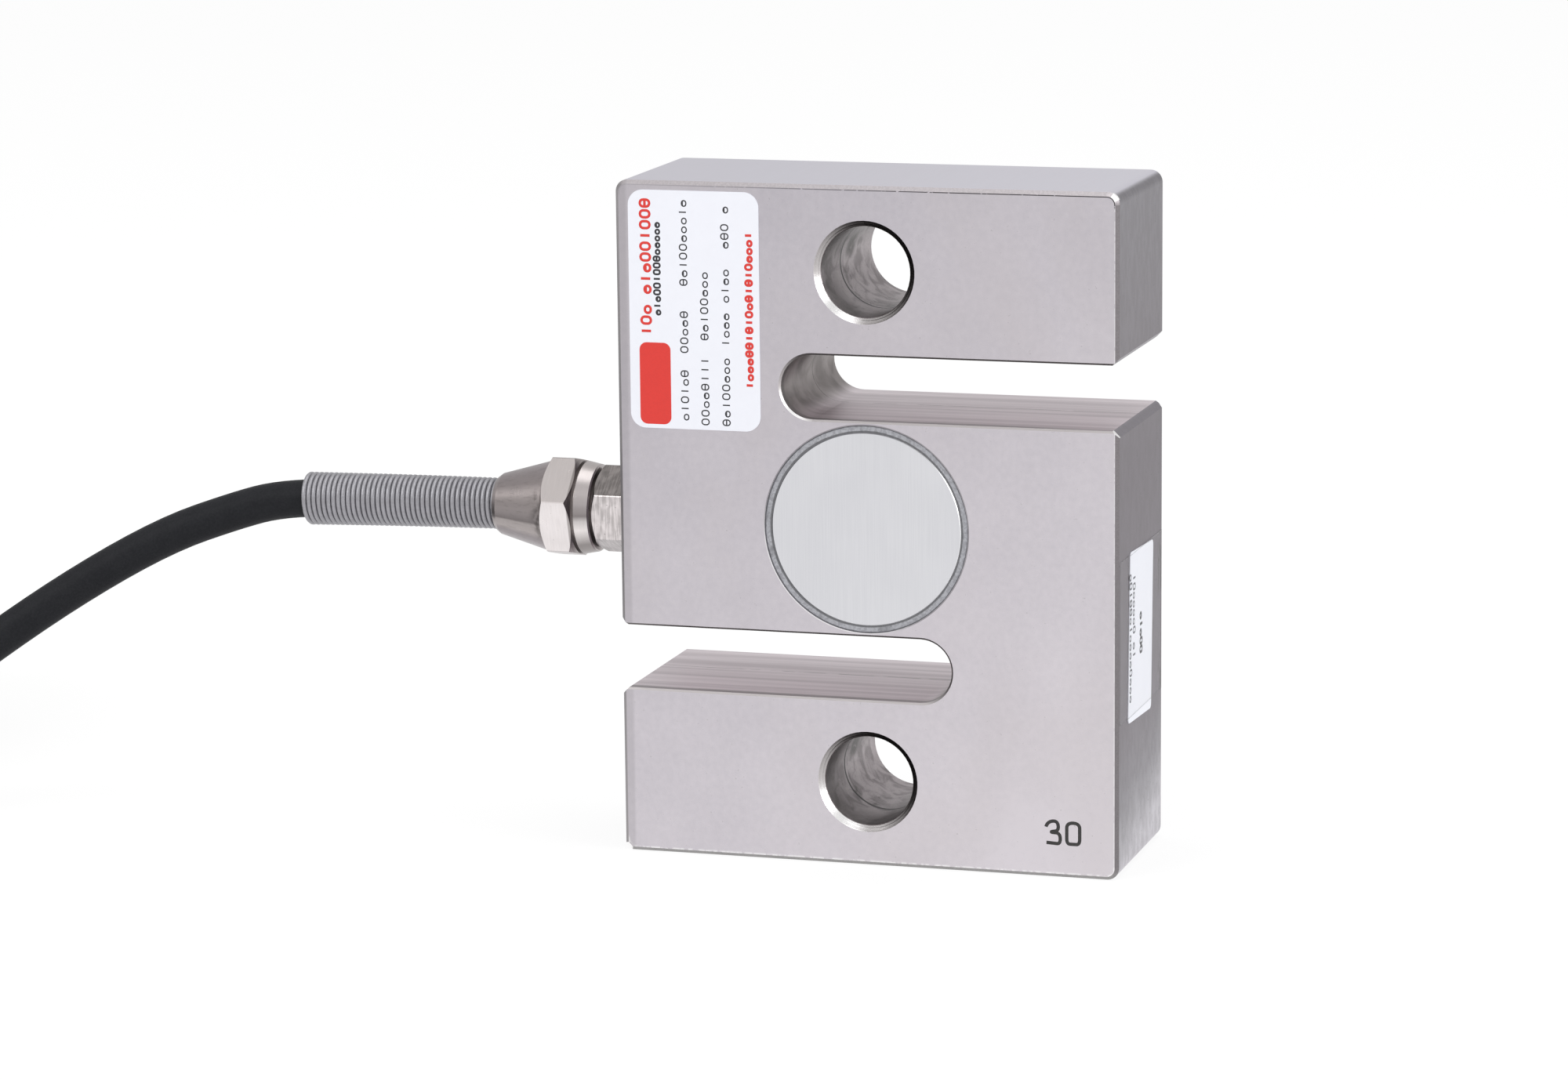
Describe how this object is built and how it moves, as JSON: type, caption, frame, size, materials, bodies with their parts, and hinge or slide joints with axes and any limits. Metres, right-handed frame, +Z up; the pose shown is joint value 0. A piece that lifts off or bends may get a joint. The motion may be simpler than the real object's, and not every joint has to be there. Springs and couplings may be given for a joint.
{
  "type": "s type load cell",
  "caption": "S-shaped steel load cell with two cross bores, slotted beam, round gauge covers, side gland with spring strain relief and a coiled cable.",
  "frame": {"origin": "middle of the bottom face, on the load axis", "axes": "+Z up along the load axis, +X to the right seen from the front, the front face looks along -Y; the cable leaves the -X face"},
  "size_m": [0.2793, 0.0708, 0.1016],
  "materials": {
    "steel": "satin, nickel-plated alloy steel",
    "cover": "brushed",
    "sealant": "matte silicone",
    "board": "solder mask",
    "resistor": "lacquered",
    "washer": "matte",
    "plating": "bright nickel plating",
    "brass": "turned",
    "spring": "drawn wire",
    "jacket": "satin PVC",
    "sleeve": "heat-shrink tube",
    "label": "satin",
    "film": "clear gloss film",
    "tie": "moulded nylon",
    "gauge": "polyimide backing with metal foil",
    "insulation_red": "gloss",
    "insulation_black": "gloss",
    "insulation_green": "gloss",
    "insulation_white": "gloss",
    "tinned_copper": "tinned strands"
  },
  "bodies": {
    "root": {"sensor_body": "steel", "front_cover": "cover", "rear_cover": "cover", "front_sealant": "sealant", "rear_sealant": "sealant", "terminal_board": "board", "trim_resistor": "resistor", "gland_washer": "washer", "gland_body": "plating", "gland_nut": "plating", "gland_seal": "washer", "thrust_washer": "brass", "strain_relief_spring": "spring", "cable_entry": "jacket", "cable_run": "jacket", "cable_coil": "jacket", "cable_end_sleeve": "sleeve", "front_label": "label", "side_label": "label", "side_film": "film", "coil_tie_1": "tie", "coil_tie_2": "tie", "front_gauge_left": "gauge", "front_gauge_right": "gauge", "rear_gauge_left": "gauge", "rear_gauge_right": "gauge", "inner_core_1": "insulation_red", "inner_core_2": "insulation_black", "inner_core_3": "insulation_green", "inner_core_4": "insulation_white", "lead_red": "insulation_red", "lead_black": "insulation_black", "drain_wire": "tinned_copper", "lead_green": "insulation_green", "lead_white": "insulation_white"}
  },
  "joints": []
}
